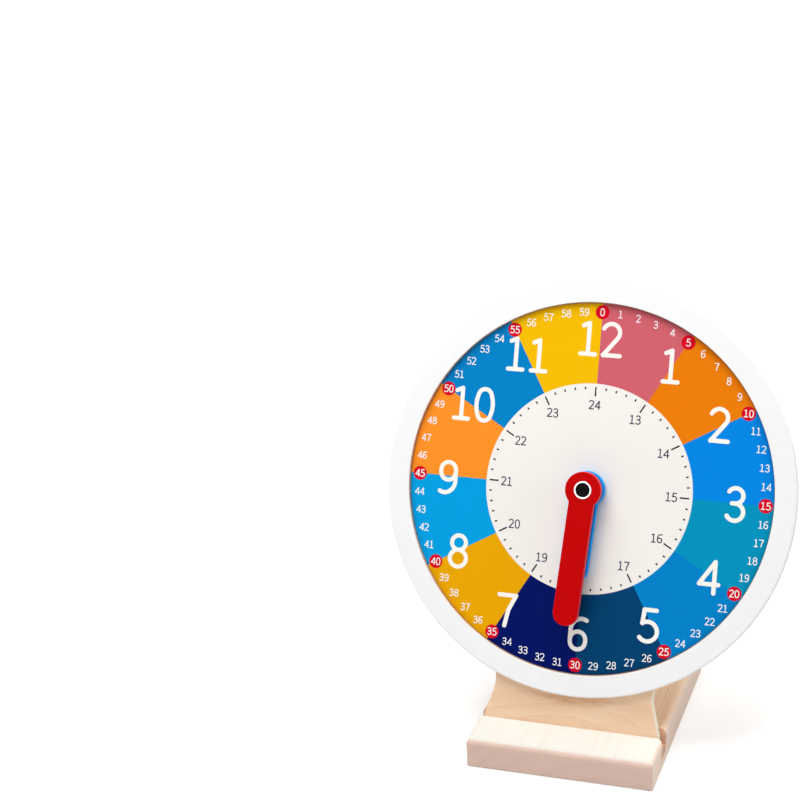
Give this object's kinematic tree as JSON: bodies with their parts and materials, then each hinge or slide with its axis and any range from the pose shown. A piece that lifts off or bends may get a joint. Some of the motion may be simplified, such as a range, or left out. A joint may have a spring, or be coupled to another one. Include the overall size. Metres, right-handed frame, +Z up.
{
  "type": "geared teaching clock",
  "caption": "Round coloured dial on a slotted wooden stand, hour and minute hands joined by twelve-to-one gears at the back.",
  "frame": {"origin": "centre of the base's flat underside, on the surface that the clock stands on", "axes": "+Z up, -Y towards someone reading the dial, +X to that person's right"},
  "size_m": [0.223, 0.13, 0.2398],
  "materials": {
    "stand_wood": "bare pine, lightly sanded",
    "board_ply": "satin varnished plywood",
    "ring_white": "satin white paint on board",
    "dial_print": "satin printed colours on thin board",
    "nickel": "nickel plate",
    "spring_steel": "blackened spring steel",
    "brass": "turned brass",
    "clear_acrylic": "clear polished acrylic",
    "minute_red": "satin red lacquer on wood",
    "hour_blue": "satin blue lacquer on wood",
    "minute_red_plastic": "red ABS",
    "hour_blue_plastic": "blue ABS",
    "gear_yellow": "yellow ABS",
    "black_plastic": "black ABS",
    "white_plastic": "white nylon"
  },
  "bodies": {
    "stand": {"base_block": "stand_wood"},
    "clock_head": {"back_board": "board_ply", "bezel_ring": "ring_white", "dial_panel": "dial_print", "dial_bush": "nickel", "bush_nut": "nickel", "idler_post": "nickel", "idler_clip": "spring_steel", "movement_pillars": "brass", "rear_plate": "clear_acrylic", "plate_screws": "nickel", "rear_bush": "brass"},
    "minute_arbor": {"minute_hand": "minute_red", "hub_ferrule": "nickel", "hub_cap": "black_plastic", "center_arbor": "nickel", "hand_spacer": "white_plastic", "cannon_pinion": "minute_red_plastic", "friction_washer": "black_plastic", "setting_knob": "minute_red_plastic", "knob_screw": "nickel"},
    "hour_arbor": {"hour_hand": "hour_blue", "hour_tube": "brass", "hour_wheel": "hour_blue_plastic"},
    "idler": {"compound_gear": "gear_yellow"}
  },
  "joints": [
    {"name": "head_lift", "type": "slide", "parent": "stand", "child": "clock_head", "axis": [0, 0.3746, 0.9272], "range_m": [0, 0.0045]},
    {"name": "minute_turn", "type": "hinge", "parent": "clock_head", "child": "minute_arbor", "pos_m": [0, 0.00754, 0.13593], "axis": [0, -0.9272, 0.3746], "continuous": true},
    {"name": "hour_turn", "type": "hinge", "parent": "clock_head", "child": "hour_arbor", "pos_m": [0, 0.00754, 0.13593], "axis": [0, -0.9272, 0.3746], "continuous": true},
    {"name": "idler_turn", "type": "hinge", "parent": "clock_head", "child": "idler", "pos_m": [0, -0.0037, 0.10811], "axis": [0, -0.9272, 0.3746], "continuous": true}
  ],
  "couplings": [
    {"joint": "hour_turn", "follows": "minute_turn", "ratio": 0.083333},
    {"joint": "idler_turn", "follows": "minute_turn", "ratio": -0.33333}
  ]
}
